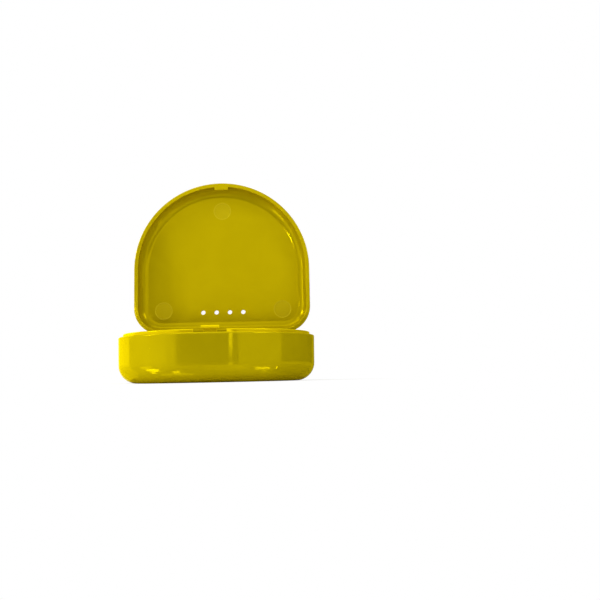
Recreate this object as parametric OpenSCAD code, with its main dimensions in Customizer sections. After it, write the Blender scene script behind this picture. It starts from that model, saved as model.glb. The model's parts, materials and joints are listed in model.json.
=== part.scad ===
// Retainer case: a D-shaped tray with a vented lid on two pinned hinges and a snap latch in front.
// Millimetres. +Z is up, the arched front faces -Y and the hinges are at +Y. The origin is the middle
// of the tray's underside. The lid is drawn standing open, resting on its stops.

/* [Case] */
// Width of the lid over its straight sides
case_w = 78; // [70:0.5:90]
// Length of the lid from its arched front to its rear face
case_l = 68; // [62:0.5:80]
// Radius of the two rear corners of the lid
corner_r = 11.7; // [10:0.1:14]
// Draft of the moulded walls, in degrees
draft = 0.5; // [0:0.1:1]
// How far the lid stands out past the tray, all round
lid_over = 0.05; // [0:0.05:0.5]
// Gap between the rim of the shut lid and the shoulder of the tray
seam_gap = 0.2; // [0.1:0.05:0.4]

/* [Tray] */
// Height of the shoulder that the lid shuts on
tray_h = 18; // [15:0.5:30]
// Thickness of the floor
floor_t = 2; // [1.5:0.1:3]
// Radius of the rounded foot, outside
foot_r = 7.2; // [4:0.1:8]
// Radius of the fillet between wall and floor, inside
floor_fillet = 4; // [2:0.1:5]
// Radius of the outer edge of the shoulder
shoulder_edge = 0.6; // [0.2:0.05:0.8]
// Height of the lip above the shoulder
lip_h = 1.3; // [0.8:0.1:1.6]
// Thickness of the lip
lip_t = 0.9; // [0.8:0.1:1.4]
// Radius of the two top edges of the lip
lip_edge = 0.4; // [0.1:0.05:0.4]
// Clearance between the lip and the wall of the shut lid
lip_clear = 0.15; // [0.1:0.05:0.4]

/* [Lid] */
// Height of the lid from its rim to its top
lid_h = 7.7; // [6.5:0.1:12]
// Thickness of the lid's panel
panel_t = 1.6; // [1.2:0.1:2.4]
// Thickness of the lid's wall at its rim
lid_wall = 1.7; // [1.4:0.05:2.4]
// Radius of the rounded crown, outside
crown_r = 4.2; // [3:0.1:4.5]
// Radius of the fillet between wall and panel, inside
lid_fillet = 3.8; // [2:0.1:4.2]
// Height of the band round the rim
band_h = 1.2; // [0.8:0.1:1.6]
// How far the band stands out of the wall
band_step = 0.25; // [0.2:0.01:0.4]
// Radius of the edges of the rim
rim_edge = 0.25; // [0.1:0.05:0.4]
// Number of vent holes
vent_count = 4; // [1:1:6]
// Diameter of a vent hole
vent_d = 2; // [1:0.1:3]
// Distance between vent holes
vent_pitch = 6; // [4:0.1:7]
// Distance of the row of vent holes from the rear face
vent_back = 10; // [8:0.1:14]

/* [Ejector marks] */
// Diameter of the round marks that the ejectors leave inside
mark_d = 7.5; // [4:0.1:9]
// Depth of the marks
mark_depth = 0.12; // [0.05:0.01:0.3]
// Distance of the two rear marks from the sides of the lid
mark_side = 12.3; // [10.5:0.1:16]
// Distance of the two rear marks from the rear face of the lid
mark_back = 11; // [10:0.1:16]
// Distance of the front mark from the front of the lid
mark_front = 11.5; // [10.5:0.1:16]
// How much further in the marks lie on the tray's floor
mark_shift = 3; // [2.5:0.1:6]

/* [Hinges] */
// Angle at which the lid stands open
open_angle = 92; // [80:1:100]
// Distance of each hinge from the middle
hinge_x = 17; // [12:0.5:18]
// Width of the lid's lug
lug_w = 6; // [4:0.1:8]
// Width of each of the tray's ears
ear_w = 3; // [2:0.1:4]
// Radius of the round ends of lugs and ears
knuckle_r = 2.7; // [2.2:0.1:3.2]
// Gap between the round ends and the rear faces
knuckle_clear = 0.4; // [0.3:0.05:0.8]
// Gap on each side of a lug
lug_side = 0.25; // [0.15:0.05:0.5]
// Radius of the hinge pin
pin_r = 0.8; // [0.5:0.05:1.2]
// Radial running clearance of the pin in the lug
pin_run = 0.05; // [0.02:0.01:0.1]
// Radial grip of the ears on the pin
pin_grip = 0.01; // [0:0.005:0.02]
// How far the pin's ends lie in from the ears
pin_sink = 0.2; // [0:0.05:0.5]
// Chamfer of the pin's ends
pin_chamfer = 0.2; // [0.1:0.05:0.3]
// How far the ears run down the rear wall, below the pin
ear_drop = 8.5; // [6:0.1:9]
// Height of the square heel of a lug
heel_h = 2.3; // [1.5:0.1:2.5]
// Gap left between the heel and the rear wall when the lid stands open
stop_gap = 0.05; // [0.02:0.01:0.1]

/* [Latch] */
// Width of the gap in the lip
latch_gap_w = 12; // [9:0.1:16]
// Width of the tongue's blade
tongue_w = 5; // [3:0.1:7]
// Thickness of the tongue
tongue_t = 1.2; // [0.8:0.1:1.6]
// Length of the tongue from its root to the shoulder
tongue_root = 4; // [3:0.1:6]
// Width of the bead across the top of the tongue
bead_w = 6.5; // [5:0.1:8]
// How far the bead stands out of the tongue
bead_out = 0.6; // [0.4:0.05:0.7]
// Height of the bead
bead_h = 1.2; // [1:0.1:1.5]
// Width of the lid's catch
catch_w = 6; // [4:0.1:8]
// How far the catch stands in from the lid's wall
catch_in = 1.4; // [0.8:0.05:1.5]
// Height of the catch
catch_h = 1.1; // [0.8:0.05:1.2]
// Clearance between tongue and catch
latch_clear = 0.15; // [0.1:0.05:0.25]

/* [Hidden] */
$fn = 96;
// Largest turn between two points of a rounded corner, in degrees
arc_step = 7.5;
// How far a cutter runs past the faces that it cuts
past = 1;
// Depth to which ribs, lugs and ears are rooted in a wall
root = 1;
plastic = [0.73, 0.65, 0.01];
steel = [0.72, 0.73, 0.75];

half_w = case_w / 2;
front_y = -case_l / 2;
rear_y = case_l / 2;
arch_y = front_y + half_w;
corner_y = rear_y - corner_r;

// Tray wall: the shoulder carries the lid's wall, and the lip stands just inside that
shoulder_w = lid_wall + lip_clear - lid_over;
tray_wall = shoulder_w + lip_t;
tray_lean = tray_h * tan(draft);
tray_reach = max(foot_r, tray_wall + floor_fillet) + tray_lean + root;

rim_z = tray_h + seam_gap;
lid_lean = lid_h * tan(draft);
lid_reach = max(band_step + crown_r, lid_wall + lid_fillet) + lid_lean + root;
band_edge = band_step / 2;

pivot_back = knuckle_r + knuckle_clear;
pivot_y = rear_y + pivot_back;
pivot_z = tray_h + seam_gap / 2;
ear_at = lug_w / 2 + lug_side + ear_w / 2;
pin_l = lug_w + 2 * (lug_side + ear_w - pin_sink);
heel_reach = pivot_back + lid_over - stop_gap;

// Latch, as distances in from the lid's front and heights above the shoulder
neck_in = lid_wall + catch_in + latch_clear;
bead_z = seam_gap + catch_h + latch_clear;
tongue_z = tray_h - tongue_root;
// How far the tongue's post reaches out into the front wall
post_out = neck_in - lid_over - tray_wall / 2;

function unit(v) = v / norm(v);
function flat(p) = [p[0], p[1]];

// Points of the arc that rounds corner p, between its neighbours a and b, to the radius p[2]
function arc_corner(a, p, b) =
    let (
        u = unit(flat(a) - flat(p)),
        v = unit(flat(b) - flat(p)),
        half = acos(u * v) / 2,
        centre = flat(p) + unit(u + v) * p[2] / sin(half),
        spoke = flat(p) + u * p[2] / tan(half) - centre,
        start = atan2(spoke[1], spoke[0]),
        turn = (180 - 2 * half) * (u[0] * v[1] < u[1] * v[0] ? 1 : -1),
        steps = ceil(abs(turn) / arc_step)
    )
    [for (k = [0 : steps]) centre + p[2] * [cos(start + turn * k / steps), sin(start + turn * k / steps)]];

// Outline through points of the form [x, y, radius], taken anticlockwise; a point [x, y] stays sharp
function rounded(points) =
    let (n = len(points))
    [
        for (i = [0 : n - 1])
            each points[i][2] == undef
                ? [points[i]]
                : arc_corner(points[(i + n - 1) % n], points[i], points[(i + 1) % n])
    ];

// A quarter of a disc, towards +X and +Y
module quarter(r) {
    intersection() {
        circle(r);
        square(r + past);
    }
}

// The plan of the case, drawn in from the lid's outline
module plan(inset) {
    for (side = [0, 1]) mirror([side, 0]) {
        translate([0, arch_y]) mirror([0, 1]) quarter(half_w - inset);
        translate([0, arch_y]) square([half_w - inset, corner_y - arch_y]);
        translate([half_w - corner_r, corner_y]) quarter(corner_r - inset);
        translate([0, corner_y]) square([half_w - corner_r, corner_r - inset]);
    }
}

// Carries a wall section round the plan: its x counts outward from the inset plan line, its y is height
module around(inset) {
    translate([0, arch_y]) rotate(180)
        rotate_extrude(angle = 180) translate([half_w - inset, 0]) children();
    for (side = [0, 1]) mirror([side, 0]) {
        translate([half_w - inset, corner_y]) rotate([90, 0, 0])
            linear_extrude(corner_y - arch_y) children();
        translate([half_w - corner_r, corner_y])
            rotate_extrude(angle = 90) translate([corner_r - inset, 0]) children();
    }
    translate([0, rear_y - inset]) rotate([90, 0, 90])
        linear_extrude(case_w - 2 * corner_r, center = true) children();
}

// Stands a profile of [y, z] points up and gives it a width along X
module across(width) {
    rotate([90, 0, 90]) linear_extrude(width, center = true) children();
}

// Places a piece at each hinge, with the pin's middle as its origin
module at_hinges() {
    for (side = [-1, 1]) translate([side * hinge_x, pivot_y, pivot_z]) children();
}

module hinge_bore(r) {
    rotate([0, 90, 0]) cylinder(r = r, h = lug_w + 2 * (lug_side + ear_w + past), center = true);
}

// Discs where the ejectors push, half of each in the wall, moved further in by a shift
module ejector_marks(shift) {
    places = [
        [half_w - mark_side - shift, rear_y - mark_back - shift],
        [mark_side + shift - half_w, rear_y - mark_back - shift],
        [0, front_y + mark_front + shift]
    ];
    for (place = places) translate(place) cylinder(d = mark_d, h = 2 * mark_depth, center = true);
}

module tray_section() {
    polygon(rounded([
        [-tray_reach, 0],
        [-tray_lean, 0, foot_r],
        [0, tray_h, shoulder_edge],
        [-shoulder_w, tray_h],
        [-shoulder_w, tray_h + lip_h, lip_edge],
        [-tray_wall, tray_h + lip_h, lip_edge],
        [-tray_wall - (tray_h + lip_h - floor_t) * tan(draft), floor_t, floor_fillet],
        [-tray_reach, floor_t]
    ]));
}

// One ear: a round end about the pin on a web that runs down the rear wall
module ear_profile() {
    wall_in = -pivot_back - lid_over - root;
    ear_top = tray_h - shoulder_edge - pivot_z;
    circle(knuckle_r);
    polygon(rounded([
        [wall_in, -ear_drop],
        [knuckle_r * cos(30), -knuckle_r * sin(60), knuckle_r / 3],
        [knuckle_r * cos(30), 0],
        [-knuckle_r * cos(30), 0],
        [-knuckle_r * cos(30), ear_top],
        [wall_in, ear_top]
    ]));
}

module base_tray() {
    color(plastic) difference() {
        union() {
            around(lid_over) tray_section();
            linear_extrude(floor_t) plan(lid_over + tray_reach);
            // Post inside the front wall, which carries the tongue
            translate([0, front_y + neck_in, 0]) across(bead_w)
                polygon([
                    [-post_out, foot_r],
                    [tongue_t, floor_t],
                    [tongue_t, tongue_z],
                    [-post_out, tongue_z]
                ]);
            at_hinges() for (end = [-1, 1]) translate([end * ear_at, 0, 0]) across(ear_w) ear_profile();
        }
        // Gap in the lip
        translate([-latch_gap_w / 2, front_y - past, tray_h])
            cube([latch_gap_w, neck_in + tongue_t + 2 * past, lip_h + past]);
        at_hinges() hinge_bore(pin_r - pin_grip);
        translate([0, 0, floor_t]) ejector_marks(mark_shift);
    }
}

// Spring tongue: a flat blade on the post, with a wider rounded bead that looks outward at its top
module latch_tongue() {
    color(plastic) translate([0, front_y + neck_in, tray_h]) {
        across(tongue_w) translate([0, -tongue_root]) square([tongue_t, tongue_root + bead_z + bead_h / 2]);
        across(bead_w) polygon(rounded([
            [tongue_t, bead_z, tongue_t / 6],
            [tongue_t, bead_z + bead_h, tongue_t / 3],
            [-bead_out, bead_z + bead_h, bead_h * 0.8],
            [-bead_out, bead_z, bead_out / 3]
        ]));
    }
}

module lid_section() {
    polygon(rounded([
        [0, 0, rim_edge],
        [0, band_h, band_edge],
        [-band_step, band_h + band_edge],
        [-band_step - lid_lean, lid_h, crown_r],
        [-lid_reach, lid_h],
        [-lid_reach, lid_h - panel_t],
        [-lid_wall - (lid_h - panel_t) * tan(draft), lid_h - panel_t, lid_fillet],
        [-lid_wall, 0, rim_edge]
    ]));
}

// One lug of the shut lid: a round end about the pin, a web up to the lid's wall and the stop heel
module lug_profile() {
    wall_in = -pivot_back - lid_wall / 2;
    web_low = rim_z - pivot_z + rim_edge;
    web_top = rim_z - pivot_z + lid_h - crown_r / 2 - panel_t / 2;
    circle(knuckle_r);
    polygon([
        [wall_in, web_low],
        [0, web_low],
        [knuckle_r * cos(45), knuckle_r * sin(30)],
        [wall_in, web_top]
    ]);
    rotate(open_angle) polygon(rounded([
        [-heel_reach, -heel_h, heel_h / 6],
        [0, -heel_h],
        [0, 0],
        [-heel_reach, 0, heel_h / 6]
    ]));
}

// The lid, shut
module lid_shut() {
    difference() {
        union() {
            around(0) translate([0, rim_z]) lid_section();
            translate([0, 0, rim_z + lid_h - panel_t]) linear_extrude(panel_t) plan(lid_reach);
            // Catch inside the front of the rim
            translate([0, front_y + lid_wall, rim_z]) across(catch_w)
                polygon(rounded([
                    [-lid_wall / 2, 0],
                    [catch_in, 0, rim_edge],
                    [catch_in, catch_h, rim_edge],
                    [-lid_wall / 2, catch_h]
                ]));
            at_hinges() across(lug_w) lug_profile();
        }
        for (i = [0 : vent_count - 1])
            translate([(i - (vent_count - 1) / 2) * vent_pitch, rear_y - vent_back, rim_z])
                cylinder(d = vent_d, h = lid_h + past);
        at_hinges() hinge_bore(pin_r + pin_run);
        translate([0, 0, rim_z + lid_h - panel_t]) ejector_marks(0);
    }
}

// The lid, swung open about its pins
module lid_cover() {
    color(plastic) translate([0, pivot_y, pivot_z]) rotate([-open_angle, 0, 0])
        translate([0, -pivot_y, -pivot_z]) lid_shut();
}

// A plain pin with chamfered ends, along X
module hinge_pin(side) {
    color(steel) translate([side * hinge_x, pivot_y, pivot_z]) rotate([0, 90, 0])
        rotate_extrude() polygon([
            [0, -pin_l / 2],
            [pin_r - pin_chamfer, -pin_l / 2],
            [pin_r, pin_chamfer - pin_l / 2],
            [pin_r, pin_l / 2 - pin_chamfer],
            [pin_r - pin_chamfer, pin_l / 2],
            [0, pin_l / 2]
        ]);
}

module hinge_pin_left() {
    hinge_pin(-1);
}

module hinge_pin_right() {
    hinge_pin(1);
}

base_tray();
latch_tongue();
lid_cover();
hinge_pin_left();
hinge_pin_right();
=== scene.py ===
# %% [markdown]
# # A retainer case in glossy moulded plastic
# The case is a pocket-size box: a deep tray with a lip, and a shallow lid that stands open behind it.
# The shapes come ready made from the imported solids, so this lesson is about everything that makes
# those solids look real: where the camera stands, what light falls on them, and what the surface of
# polished plastic does with that light.

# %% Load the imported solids
import json
import math

import bpy
from mathutils import Matrix, Vector

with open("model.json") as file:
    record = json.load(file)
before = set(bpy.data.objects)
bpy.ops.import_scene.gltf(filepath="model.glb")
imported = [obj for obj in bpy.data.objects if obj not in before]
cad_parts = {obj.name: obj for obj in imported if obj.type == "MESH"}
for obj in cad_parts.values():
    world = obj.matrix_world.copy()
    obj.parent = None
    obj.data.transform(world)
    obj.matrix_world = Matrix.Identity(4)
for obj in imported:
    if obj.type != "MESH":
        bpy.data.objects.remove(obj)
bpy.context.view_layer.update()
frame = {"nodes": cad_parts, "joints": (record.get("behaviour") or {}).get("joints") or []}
scene = bpy.context.scene
scene.view_settings.view_transform = "Standard"
for node_name, node in sorted(frame["nodes"].items()):
    print("solid", node_name, "has", len(node.data.polygons), "faces")

# %% [markdown]
# ## The camera
# The picture was taken from table height, with the lens almost level with the table top, a little to
# the right of the case and turned a touch clockwise. Guessing such a view by hand never quite fits.
# The place and angles below were solved from the outline of the lid and of the tray, so the model
# falls on the same pixels. The lens is worked out from its focal length in pixels, because that is
# what such a fit gives.

# %% Place the camera
MM = 0.001
FRAME_PX = 600
FOCAL_PX = 820.68
SENSOR_MM = 36.0
CAMERA_MM = (24.075, -325.97, 1.967)
YAW, PITCH, ROLL = 0.0288, 0.0914, -0.0204
NEAR_CLIP = 0.005

camera_data = bpy.data.cameras.new("photo_camera")
camera_data.sensor_width = SENSOR_MM
camera_data.lens = FOCAL_PX * SENSOR_MM / FRAME_PX
camera_data.clip_start = NEAR_CLIP
camera = bpy.data.objects.new("photo_camera", camera_data)
scene.collection.objects.link(camera)
camera.matrix_world = (
    Matrix.Translation(Vector(CAMERA_MM) * MM)
    @ Matrix.Rotation(-YAW, 4, "Z")
    @ Matrix.Rotation(math.radians(90) + PITCH, 4, "X")
    @ Matrix.Rotation(ROLL, 4, "Z")
)
scene.camera = camera
print("lens", round(camera_data.lens, 2), "mm")

# %% [markdown]
# ## Small helpers for node trees
# Every material below is a tree of shader nodes. Made by hand, each node takes four or five lines.
# `fill` gives one socket a constant or a wire from another node, `put` adds a node and fills its
# sockets, and `calc` does the same for a sum. `ray_kinds` tells what the eye sees from what a shiny
# surface mirrors.

# %% Helpers for nodes
def fill(tree, socket, value):
    if isinstance(value, bpy.types.NodeSocket):
        tree.links.new(value, socket)
    else:
        socket.default_value = value


def put(tree, kind, sockets=None, **settings):
    node = tree.nodes.new("ShaderNode" + kind)
    for name, value in settings.items():
        setattr(node, name, value)
    for socket, value in (sockets or {}).items():
        fill(tree, node.inputs[socket], value)
    return node


def calc(tree, operation, first, second=0.0):
    return put(tree, "Math", {0: first, 1: second}, operation=operation).outputs[0]


def ray_kinds(tree):
    ray = put(tree, "LightPath").outputs
    mirrored = calc(tree, "MAXIMUM", ray["Is Glossy Ray"], ray["Is Transmission Ray"])
    return ray["Is Camera Ray"], mirrored


print("helpers fill, put, calc and ray_kinds are ready")

# %% [markdown]
# ## White surroundings
# The case stands in a white tent. If the world were simply white, it would also light the case from
# all sides and every form would go flat. So the world is white only to the eye and to reflections,
# and much dimmer as a lamp. Light Path tells the two kinds of ray apart.

# %% World
AMBIENT = 0.17

world = bpy.data.worlds.new("white_tent")
scene.world = world
world.use_nodes = True
tree = world.node_tree
tree.nodes.clear()
direct, mirrored = ray_kinds(tree)
dim = put(tree, "Background", {"Color": (AMBIENT, AMBIENT, AMBIENT, 1)})
white = put(tree, "Background", {"Color": (1, 1, 1, 1)})
shown = calc(tree, "MAXIMUM", direct, mirrored)
both = put(tree, "MixShader", {0: shown, 1: dim.outputs[0], 2: white.outputs[0]})
put(tree, "OutputWorld", {"Surface": both.outputs[0]})
print("world lights with", AMBIENT)

# %% [markdown]
# ## The table top
# The table is a white acrylic sheet. To the eye it has to melt into the white behind it and still keep
# the shadow that holds the case down. So close to the case most of what the eye sees is plain white and
# the rest is the lit sheet, and a hand's breadth away it is white alone. To the plastic the sheet is
# half a mirror: it shows the lamps upside down, and those images draw the highlights on the rounded
# foot, which a matte floor would leave dull.

# %% Floor
FLOOR_HALF = 3.0
FLOOR_WHITE = 0.72
MIRROR_WHITE = 0.15
MIRROR_SHARE = 0.55
FADE_FROM, FADE_TO = 0.040, 0.075

floor_mesh = bpy.data.meshes.new("floor")
floor_mesh.from_pydata(
    [(x * FLOOR_HALF, y * FLOOR_HALF, 0.0) for x, y in ((-1, -1), (1, -1), (1, 1), (-1, 1))],
    [],
    [(0, 1, 2, 3)],
)
floor = bpy.data.objects.new("floor", floor_mesh)
scene.collection.objects.link(floor)
floor_finish = bpy.data.materials.new("white_acrylic")
floor_finish.use_nodes = True
tree = floor_finish.node_tree
tree.nodes.clear()
direct, mirrored = ray_kinds(tree)
matte = put(tree, "BsdfPrincipled", {
    "Base Color": (0.9, 0.9, 0.9, 1), "Roughness": 0.9, "Specular IOR Level": 0.0})
polished = put(tree, "BsdfPrincipled", {
    "Base Color": (0.85, 0.85, 0.85, 1), "Roughness": 0.05, "Metallic": MIRROR_SHARE})
glow = put(tree, "Emission", {"Color": (1, 1, 1, 1), "Strength": 1.0})
lit = put(tree, "MixShader", {0: direct, 1: polished.outputs[0], 2: matte.outputs[0]})
spot = put(tree, "TexCoord").outputs["Object"]
away = put(tree, "VectorMath", {0: spot}, operation="LENGTH").outputs["Value"]
fade = put(tree, "MapRange", {0: away, 1: FADE_FROM, 2: FADE_TO, 3: FLOOR_WHITE, 4: 1.0}).outputs[0]
seen_white = calc(tree, "MULTIPLY", direct, fade)
mirrored_white = calc(tree, "MULTIPLY", mirrored, MIRROR_WHITE)
share = calc(tree, "ADD", seen_white, mirrored_white)
table = put(tree, "MixShader", {0: share, 1: lit.outputs[0], 2: glow.outputs[0]})
put(tree, "OutputMaterial", {"Surface": table.outputs[0]})
floor_mesh.materials.append(floor_finish)
print("floor", 2 * FLOOR_HALF, "m square")

# %% [markdown]
# ## The lamps
# Polished plastic shows its lamps, so each lamp is placed for the reflection that it leaves. Each is
# given by the direction in which it is seen from the case, its distance, its width and height, and how
# bright its face is. Two softboxes at the left, one wider than the other, make the bright left end, and
# their two edges let the front of the tray turn dark in steps and not at once. Softboxes behind, above
# and high at the left light the rims, and one above the camera lights the inside of the lid. A narrow
# strip draws the upright streak on the tray. The small lamps are bulbs: those at the left put the bright
# mark on the foot and the sparks in the lid's right corner, a slim one low in front draws the dash on
# the lid's inner arch, and those at the right draw the streaks at the other end of the foot and the
# spark in the lid's left corner.

# %% Lamps
CASE_MIDDLE = Vector((0.0, 0.0, 0.035))


def lamp(name, azimuth, elevation, distance, wide, tall, brightness):
    a, e = math.radians(azimuth), math.radians(elevation)
    toward = Vector((math.sin(a) * math.cos(e), -math.cos(a) * math.cos(e), math.sin(e)))
    data = bpy.data.lights.new(name, "AREA")
    data.shape = "RECTANGLE"
    data.size, data.size_y = wide, tall
    data.energy = brightness * math.pi * wide * tall
    made = bpy.data.objects.new(name, data)
    turned = toward.to_track_quat("Z", "Y").to_matrix().to_4x4()
    made.matrix_world = Matrix.Translation(CASE_MIDDLE + toward * distance) @ turned
    made.visible_camera = False
    scene.collection.objects.link(made)
    print("lamp", name, round(data.energy, 2), "W")


# Name, azimuth and elevation in degrees, distance, width and height in metres, brightness
LAMPS = (
    ("left_softbox", -79, 10, 0.60, 0.82, 0.42, 0.45),
    ("left_inner_softbox", -84, 10, 0.60, 0.70, 0.42, 0.40),
    ("left_back_softbox", -139, 10, 0.60, 0.58, 0.42, 3.1),
    ("back_softbox", 180, 60, 0.60, 0.50, 0.30, 1.8),
    ("ceiling_softbox", 180, 85, 0.60, 0.50, 0.46, 1.5),
    ("front_softbox", 15, 24, 0.75, 0.67, 0.42, 0.94),
    ("front_strip", 18.5, 1.6, 0.42, 0.027, 0.060, 3.8),
    ("left_lamp", -79, 25, 0.50, 0.14, 0.13, 14.0),
    ("low_left_lamp", -84, 8.5, 0.50, 0.14, 0.06, 3.0),
    ("near_left_lamp", -54, 42, 0.50, 0.07, 0.06, 10.0),
    ("high_left_softbox", -70, 60, 0.60, 0.30, 0.30, 2.5),
    ("arch_lamp", -17.7, 7.6, 0.42, 0.012, 0.022, 50.0),
    ("right_lamp", 61, 30, 0.50, 0.15, 0.16, 8.6),
    ("corner_lamp", 82, 24, 0.50, 0.03, 0.03, 40.0),
)
for settings in LAMPS:
    lamp(*settings)

# %% [markdown]
# ## Dark cards
# Seen against white, a shiny part only mirrors white and loses its form. So a low black card stands to
# the right of the case, where it holds light back and gives that end a clear edge. A wide one stands
# behind the camera and the strip, and keeps the front of the tray dark on both sides of the streak. The
# camera itself does not see the cards, only the light and the reflections do.

# %% Dark cards
CARD_LIFT = 0.005

black_paper = bpy.data.materials.new("black_paper")
black_paper.use_nodes = True
paper = black_paper.node_tree.nodes["Principled BSDF"].inputs
paper["Base Color"].default_value = (0.03, 0.03, 0.03, 1)
paper["Roughness"].default_value = 0.9


def dark_card(name, azimuth, distance, wide, tall):
    a = math.radians(azimuth)
    outward = Vector((math.sin(a), -math.cos(a), 0.0))
    along = Vector((math.cos(a), math.sin(a), 0.0))
    corners = [
        outward * distance + along * side * wide / 2 + Vector((0, 0, height))
        for side, height in ((-1, CARD_LIFT), (1, CARD_LIFT), (1, tall), (-1, tall))
    ]
    mesh = bpy.data.meshes.new(name)
    mesh.from_pydata(corners, [], [(0, 1, 2, 3)])
    mesh.materials.append(black_paper)
    card = bpy.data.objects.new(name, mesh)
    card.visible_camera = False
    scene.collection.objects.link(card)
    print("card", name, wide, "x", tall, "m")


dark_card("right_card", 101, 0.085, 0.10, 0.062)
dark_card("camera_card", -7, 0.45, 0.61, 0.10)

# %% [markdown]
# ## Moulded skin
# A moulded surface is never perfectly even. The pigment clouds a little as the melt flows, and the
# polished tool leaves a faint orange peel that makes reflections swim. Both come from noise in the
# object's own coordinates, so that the pattern stays on the part when it moves. It is a node group,
# because the tray, the lid and the tongue all have it.

# %% Group: moulded skin
def new_group(name, inputs, outputs):
    tree = bpy.data.node_groups.new(name, "ShaderNodeTree")
    for label, kind, value in inputs:
        socket = tree.interface.new_socket(label, in_out="INPUT", socket_type="NodeSocket" + kind)
        if value is not None:
            socket.default_value = value
    for label, kind in outputs:
        tree.interface.new_socket(label, in_out="OUTPUT", socket_type="NodeSocket" + kind)
    start = tree.nodes.new("NodeGroupInput")
    end = tree.nodes.new("NodeGroupOutput")
    return tree, start.outputs, end.inputs


def spread(tree, value, low, high, to_low=0.0, to_high=1.0):
    node = put(tree, "MapRange", {0: value, 1: low, 2: high, 3: to_low, 4: to_high})
    return node.outputs[0]


HAZE_TO_PEEL = 0.35

skin, given, out = new_group(
    "moulded_skin",
    [("Vector", "Vector", None), ("Cloud scale", "Float", 40.0), ("Peel scale", "Float", 420.0)],
    [("Cloud", "Float"), ("Peel", "Float"), ("Haze", "Float")],
)
cloud = put(skin, "TexNoise", {
    "Vector": given["Vector"], "Scale": given["Cloud scale"], "Detail": 3.0, "Distortion": 1.2})
fill(skin, out["Cloud"], spread(skin, cloud.outputs[0], low=0.3, high=0.7))
peel = put(skin, "TexNoise", {"Vector": given["Vector"], "Scale": given["Peel scale"], "Detail": 1.0})
fill(skin, out["Peel"], peel.outputs[0])
haze_scale = calc(skin, "MULTIPLY", given["Peel scale"], HAZE_TO_PEEL)
haze = put(skin, "TexNoise", {"Vector": given["Vector"], "Scale": haze_scale, "Detail": 4.0})
fill(skin, out["Haze"], spread(skin, haze.outputs[0], low=0.35, high=0.7))
print("group", skin.name, "with", len(skin.nodes), "nodes")

# %% [markdown]
# ## Handling scuffs
# A case that lives in pockets and bags collects hairlines, which show as thin dull lines where the
# gloss is gone. Noise that is stretched a lot in one direction gives parallel lines, so three
# stretched noises in three directions are laid over each other, and a slow noise keeps them in patches.

# %% Group: handling scuffs
HAIRLINES_PER_M = 1500.0
# The turn of each set of hairlines in radians, and how many of its lines start in a metre of length
HAIRLINE_SETS = (((0.3, 0.2, 0.5), 14.0), ((1.1, 0.7, 1.9), 18.0), ((2.2, 1.6, 0.9), 11.0))

scuffs, given, out = new_group(
    "handling_scuffs",
    [("Vector", "Vector", None), ("Amount", "Float", 0.5)],
    [("Scuff", "Float")],
)
lines = None
for turn, along in HAIRLINE_SETS:
    bent = put(scuffs, "Mapping", {
        "Vector": given["Vector"], "Rotation": turn,
        "Scale": (along, HAIRLINES_PER_M, HAIRLINES_PER_M)})
    noise = put(scuffs, "TexNoise", {"Vector": bent.outputs[0], "Scale": 1.0, "Detail": 1.0})
    line = spread(scuffs, noise.outputs[0], low=0.69, high=0.74)
    lines = line if lines is None else calc(scuffs, "MAXIMUM", lines, line)
patch = put(scuffs, "TexNoise", {"Vector": given["Vector"], "Scale": 60.0, "Detail": 2.0})
patches = spread(scuffs, patch.outputs[0], low=0.42, high=0.62)
marked = calc(scuffs, "MULTIPLY", lines, patches)
fill(scuffs, out["Scuff"], calc(scuffs, "MULTIPLY", marked, given["Amount"]))
print("group", scuffs.name, "with", len(scuffs.nodes), "nodes")

# %% [markdown]
# ## Worn and rounded edges, with painted highlights
# No moulded edge is a knife edge, and the outermost edges are where a case is rubbed first. The Bevel
# node looks at the neighbouring faces and returns a rounded normal. The angle between that and the true
# normal says how close a point is to an edge, which is all that an edge mask needs. A noise breaks
# the mask up, since nothing wears evenly. The mask paints the edges pale: partly real wear, and partly
# a painted highlight for the light that the rounded edges catch.

# %% Group: edge wear and painted highlight
BEVEL_SAMPLES = 4

wear_and_highlight, given, out = new_group(
    "edge_wear_and_highlight",
    [("Vector", "Vector", None), ("Width", "Float", 0.0006), ("Round", "Float", 0.00015)],
    [("Wear and highlight", "Float"), ("Normal", "Vector")],
)
wide = put(wear_and_highlight, "Bevel", {"Radius": given["Width"]}, samples=BEVEL_SAMPLES)
true_normal = put(wear_and_highlight, "NewGeometry").outputs["True Normal"]
agree = put(wear_and_highlight, "VectorMath", {0: wide.outputs[0], 1: true_normal}, operation="DOT_PRODUCT")
edge = spread(wear_and_highlight, agree.outputs["Value"], low=0.99, high=0.85)
breaks = put(wear_and_highlight, "TexNoise", {"Vector": given["Vector"], "Scale": 500.0, "Detail": 3.0})
broken = calc(wear_and_highlight, "MULTIPLY", edge, spread(wear_and_highlight, breaks.outputs[0], low=0.30, high=0.55))
# The mask marks real wear and also where a painted highlight lies along the edges.
fill(wear_and_highlight, out["Wear and highlight"], broken)
fine = put(wear_and_highlight, "Bevel", {"Radius": given["Round"]}, samples=BEVEL_SAMPLES)
fill(wear_and_highlight, out["Normal"], fine.outputs[0])
print("group", wear_and_highlight.name, "with", len(wear_and_highlight.nodes), "nodes")

# %% [markdown]
# ## Ejector marks
# Inside the lid and on the floor of the tray, round pins pushed the parts out of the tool and left
# shallow round prints. The steps are in the solids. The print itself is duller than the polish around
# it. Its rim is painted with a pale ring, a painted highlight for the light its step catches, and its
# disc is painted a little paler, partly as painted sheen. So the group returns a disc and a highlight
# ring about a given point on a given face. It measures along the face's axis too, so that the print does
# not show on the other side of the wall.

# %% Group: ejector print
PRINT_REACH = 0.6 * MM

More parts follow.
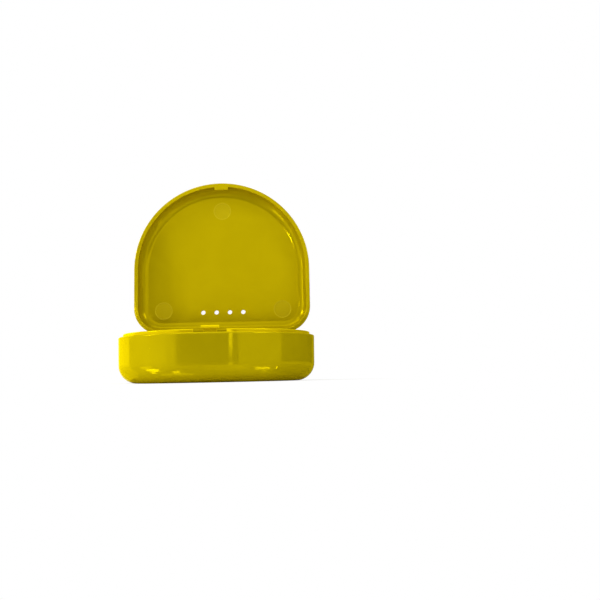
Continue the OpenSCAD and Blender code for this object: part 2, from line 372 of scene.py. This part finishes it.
prints, given, out = new_group(
    "ejector_print",
    [
        ("Vector", "Vector", None),
        ("Centre", "Vector", (0.0, 0.0, 0.0)),
        ("Axis", "Vector", (0.0, 0.0, 1.0)),
        ("Radius", "Float", 0.004),
    ],
    [("Disc", "Float"), ("Highlight ring", "Float")],
)
offset = put(prints, "VectorMath", {
    0: given["Vector"], 1: given["Centre"]}, operation="SUBTRACT").outputs[0]
height = put(prints, "VectorMath", {
    0: offset, 1: given["Axis"]}, operation="DOT_PRODUCT").outputs["Value"]
distance = put(prints, "VectorMath", {0: offset}, operation="LENGTH").outputs["Value"]
on_face = calc(prints, "LESS_THAN", calc(prints, "ABSOLUTE", height), PRINT_REACH)
ratio = calc(prints, "DIVIDE", distance, given["Radius"])
inside = spread(prints, ratio, low=1.0, high=0.97)
fill(prints, out["Disc"], calc(prints, "MULTIPLY", inside, on_face))
# The ring is a painted highlight along the print's rim.
from_rim = calc(prints, "ABSOLUTE", calc(prints, "SUBTRACT", ratio, 1.0))
highlight_ring = spread(prints, from_rim, low=0.10, high=0.02)
fill(prints, out["Highlight ring"], calc(prints, "MULTIPLY", highlight_ring, on_face))
print("group", prints.name, "with", len(prints.nodes), "nodes")

# %% [markdown]
# ## Olive-yellow plastic
# One opaque plastic makes the tray, the lid and the tongue, but each is a moulding of its own, so a
# function builds the material with that moulding's values. The colour goes from the pigment's clouds to
# a paler tone on edges and in the ejector prints. On the edges that paleness is part wear and part
# painted highlight, the pale ring of each print is a painted highlight, and its paler disc is partly
# painted sheen.
# Roughness starts at a good polish and is raised by haze, scuffs, wear and prints. The tray's lip and
# the tongue rub on the lid each time it is shut, so they have a paler pair of pigments, which also paint
# a highlight on their bright edges. A clear gloss would make white highlights, and those of this plastic
# stay yellow. So its gloss comes from a small metallic share, which tints what it mirrors with
# the pigment, and the clear reflection is switched off.

# %% Plastic material
FULL_PIGMENTS = ((0.440, 0.338, 0.0006, 1), (0.478, 0.369, 0.0010, 1))
# Paler pigments of the lip and the tongue: partly rubbing, partly a painted highlight.
RUBBED_AND_HIGHLIGHT_PIGMENTS = ((0.630, 0.485, 0.0008, 1), (0.710, 0.548, 0.0012, 1))
# Pale edge colour: partly real wear, partly a painted highlight on the edges.
PIGMENT_WORN_AND_HIGHLIGHT = (0.900, 0.700, 0.0080, 1)
# Print colour: a painted highlight on the ring, and partly painted sheen on the disc.
PIGMENT_PRINT_AND_HIGHLIGHT = (0.560, 0.448, 0.0120, 1)
REFLECTION_TINT = (1.0, 0.88, 0.0, 1)
GLOSS_SHARE = 0.20
POLISH = 0.06
HAZE_ROUGHER, SCUFF_ROUGHER, WEAR_ROUGHER, PRINT_ROUGHER = 0.05, 0.30, 0.15, 0.07
WEAR_AND_HIGHLIGHT_PALER = 0.65
PRINT_RADIUS = 3.75 * MM
PRINT_AND_HIGHLIGHT_PALER, PRINT_DISC = 0.8, 0.35
RUB_AND_HIGHLIGHT_FADE = 0.2 * MM
RELIEF_HEIGHT = 0.006 * MM
SCUFF_DEPTH = 0.5


def blend_colours(tree, factor, first, second):
    node = put(tree, "Mix", data_type="RGBA")
    for socket, value in ((0, factor), (6, first), (7, second)):
        fill(tree, node.inputs[socket], value)
    return node.outputs[2]


def use_group(tree, group, **sockets):
    node = tree.nodes.new("ShaderNodeGroup")
    node.node_tree = group
    for label, value in sockets.items():
        fill(tree, node.inputs[label], value)
    return node.outputs


def moulded_plastic(name, pigments, scuffing, prints_at=(), print_axis=(0, 0, 1), rubbed_and_lit_from=None):
    made = bpy.data.materials.new(name)
    made.use_nodes = True
    tree = made.node_tree
    tree.nodes.clear()
    place = put(tree, "TexCoord").outputs["Object"]
    surface = use_group(tree, skin, Vector=place)
    scratched = use_group(tree, scuffs, Vector=place, Amount=scuffing)["Scuff"]
    edges = use_group(tree, wear_and_highlight, Vector=place)
    colour = blend_colours(tree, surface["Cloud"], *pigments)
    # Above the shoulder the lip turns paler: partly rubbing, partly a painted highlight.
    if rubbed_and_lit_from is not None:
        level = put(tree, "SeparateXYZ", {0: place}).outputs["Z"]
        band = spread(tree, level, rubbed_and_lit_from, rubbed_and_lit_from + RUB_AND_HIGHLIGHT_FADE)
        rubbed_and_lit = blend_colours(tree, surface["Cloud"], *RUBBED_AND_HIGHLIGHT_PIGMENTS)
        colour = blend_colours(tree, band, colour, rubbed_and_lit)
    # Edges turn pale: partly wear, partly a painted highlight.
    paler = calc(tree, "MULTIPLY", edges["Wear and highlight"], WEAR_AND_HIGHLIGHT_PALER)
    colour = blend_colours(tree, paler, colour, PIGMENT_WORN_AND_HIGHLIGHT)
    rough = spread(tree, surface["Haze"], 0.0, 1.0, POLISH, POLISH + HAZE_ROUGHER)
    rough = calc(tree, "ADD", rough, calc(tree, "MULTIPLY", scratched, SCUFF_ROUGHER))
    rough = calc(tree, "ADD", rough, calc(tree, "MULTIPLY", edges["Wear and highlight"], WEAR_ROUGHER))
    for centre in prints_at:
        mark = use_group(
            tree, prints, Vector=place, Centre=centre, Axis=print_axis, Radius=PRINT_RADIUS)
        # Pale print colour: painted highlight on the ring, partly painted sheen on the disc.
        print_highlight = calc(tree, "MAXIMUM", calc(tree, "MULTIPLY", mark["Disc"], PRINT_DISC), mark["Highlight ring"])
        paler = calc(tree, "MULTIPLY", print_highlight, PRINT_AND_HIGHLIGHT_PALER)
        colour = blend_colours(tree, paler, colour, PIGMENT_PRINT_AND_HIGHLIGHT)
        rough = calc(tree, "ADD", rough, calc(tree, "MULTIPLY", mark["Disc"], PRINT_ROUGHER))
    height = calc(tree, "SUBTRACT", surface["Peel"], calc(tree, "MULTIPLY", scratched, SCUFF_DEPTH))
    relief = put(tree, "Bump", {
        "Strength": 1.0, "Distance": RELIEF_HEIGHT, "Height": height, "Normal": edges["Normal"]})
    shader = put(tree, "BsdfPrincipled", {
        "Base Color": colour, "Roughness": rough, "Normal": relief.outputs[0],
        "Metallic": GLOSS_SHARE, "Specular IOR Level": 0.0, "Specular Tint": REFLECTION_TINT})
    put(tree, "OutputMaterial", {"Surface": shader.outputs[0]})
    print("material", name, "with", len(tree.nodes), "nodes")
    return made


print("plastic has a polish of", POLISH, "and a gloss share of", GLOSS_SHARE)

# %% [markdown]
# ## Where the prints and the rubbed, painted-highlight lip are
# The tray's floor is level, so its three prints are simple places, and its rubbed band, which also
# carries a painted highlight, is everything above the edge of the shoulder. Places on the lid are
# easiest to measure with the lid shut, and here it stands open, so its prints are first placed on the
# shut lid and then swung with it about the hinge.

# %% Plastic on the mouldings
SHOULDER_Z = 17.85
TRAY_FLOOR_Z = 2.0
TRAY_PRINTS = ((23.7, 20.0), (-23.7, 20.0), (0.0, -19.5))
LID_PRINTS = ((26.7, 23.0), (-26.7, 23.0), (0.0, -22.5))
LID_INSIDE_Z = 24.3
hinge = next(joint for joint in frame["joints"] if joint["name"] == "lid_hinge")
pivot = Vector(hinge["pos_m"])
swing = Matrix.Rotation(-math.radians(hinge["range_deg"][1]), 4, "X")


def on_open_lid(x, y, z):
    return swing @ (Vector((x, y, z)) * MM - pivot) + pivot


tray_marks = [Vector((x, y, TRAY_FLOOR_Z)) * MM for x, y in TRAY_PRINTS]
lid_marks = [on_open_lid(x, y, LID_INSIDE_Z) for x, y in LID_PRINTS]
lid_axis = swing.to_3x3() @ Vector((0, 0, 1))
tray_plastic = moulded_plastic(
    "tray_plastic", FULL_PIGMENTS, scuffing=0.6, prints_at=tray_marks, rubbed_and_lit_from=SHOULDER_Z * MM)
lid_plastic = moulded_plastic(
    "lid_plastic", FULL_PIGMENTS, scuffing=0.5, prints_at=lid_marks, print_axis=lid_axis)
# The tongue takes the paler pigments all over, partly as a painted highlight on its bead.
tongue_plastic = moulded_plastic("tongue_plastic", RUBBED_AND_HIGHLIGHT_PIGMENTS, scuffing=0.8)
for node_name, finish in (
    ("base_tray", tray_plastic), ("lid_cover", lid_plastic), ("latch_tongue", tongue_plastic),
):
    frame["nodes"][node_name].material_slots[0].material = finish
print("lid prints at", [tuple(round(c / MM, 2) for c in p) for p in lid_marks])

# %% [markdown]
# ## Hinge pins
# The pins are short lengths of drawn steel wire. Drawing leaves fine lines along the wire. A noise that
# is stretched along the pin's axis gives the lines, and on the cut ends it shows as a fine grain.

# %% Steel on the pins
DRAWN_TONES = ((0.50, 0.50, 0.51, 1), (0.66, 0.66, 0.67, 1))
DRAWN_LINES = (60.0, 9000.0, 9000.0)
DRAWN_ROUGHNESS = (0.22, 0.38)
GROOVE_DEPTH = 0.004 * MM

steel = bpy.data.materials.new("drawn_steel")
steel.use_nodes = True
tree = steel.node_tree
tree.nodes.clear()
place = put(tree, "TexCoord").outputs["Object"]
along = put(tree, "Mapping", {"Vector": place, "Scale": DRAWN_LINES})
drawn = put(tree, "TexNoise", {"Vector": along.outputs[0], "Scale": 1.0, "Detail": 2.0})
tone = blend_colours(tree, drawn.outputs[0], *DRAWN_TONES)
rough = spread(tree, drawn.outputs[0], 0.3, 0.7, *DRAWN_ROUGHNESS)
grooves = put(tree, "Bump", {
    "Strength": 0.6, "Distance": GROOVE_DEPTH, "Height": drawn.outputs[0]})
shader = put(tree, "BsdfPrincipled", {
    "Base Color": tone, "Roughness": rough, "Normal": grooves.outputs[0], "Metallic": 1.0})
put(tree, "OutputMaterial", {"Surface": shader.outputs[0]})
for node_name in ("hinge_pin_left", "hinge_pin_right"):
    frame["nodes"][node_name].material_slots[0].material = steel
print("material", steel.name, "with", len(tree.nodes), "nodes")
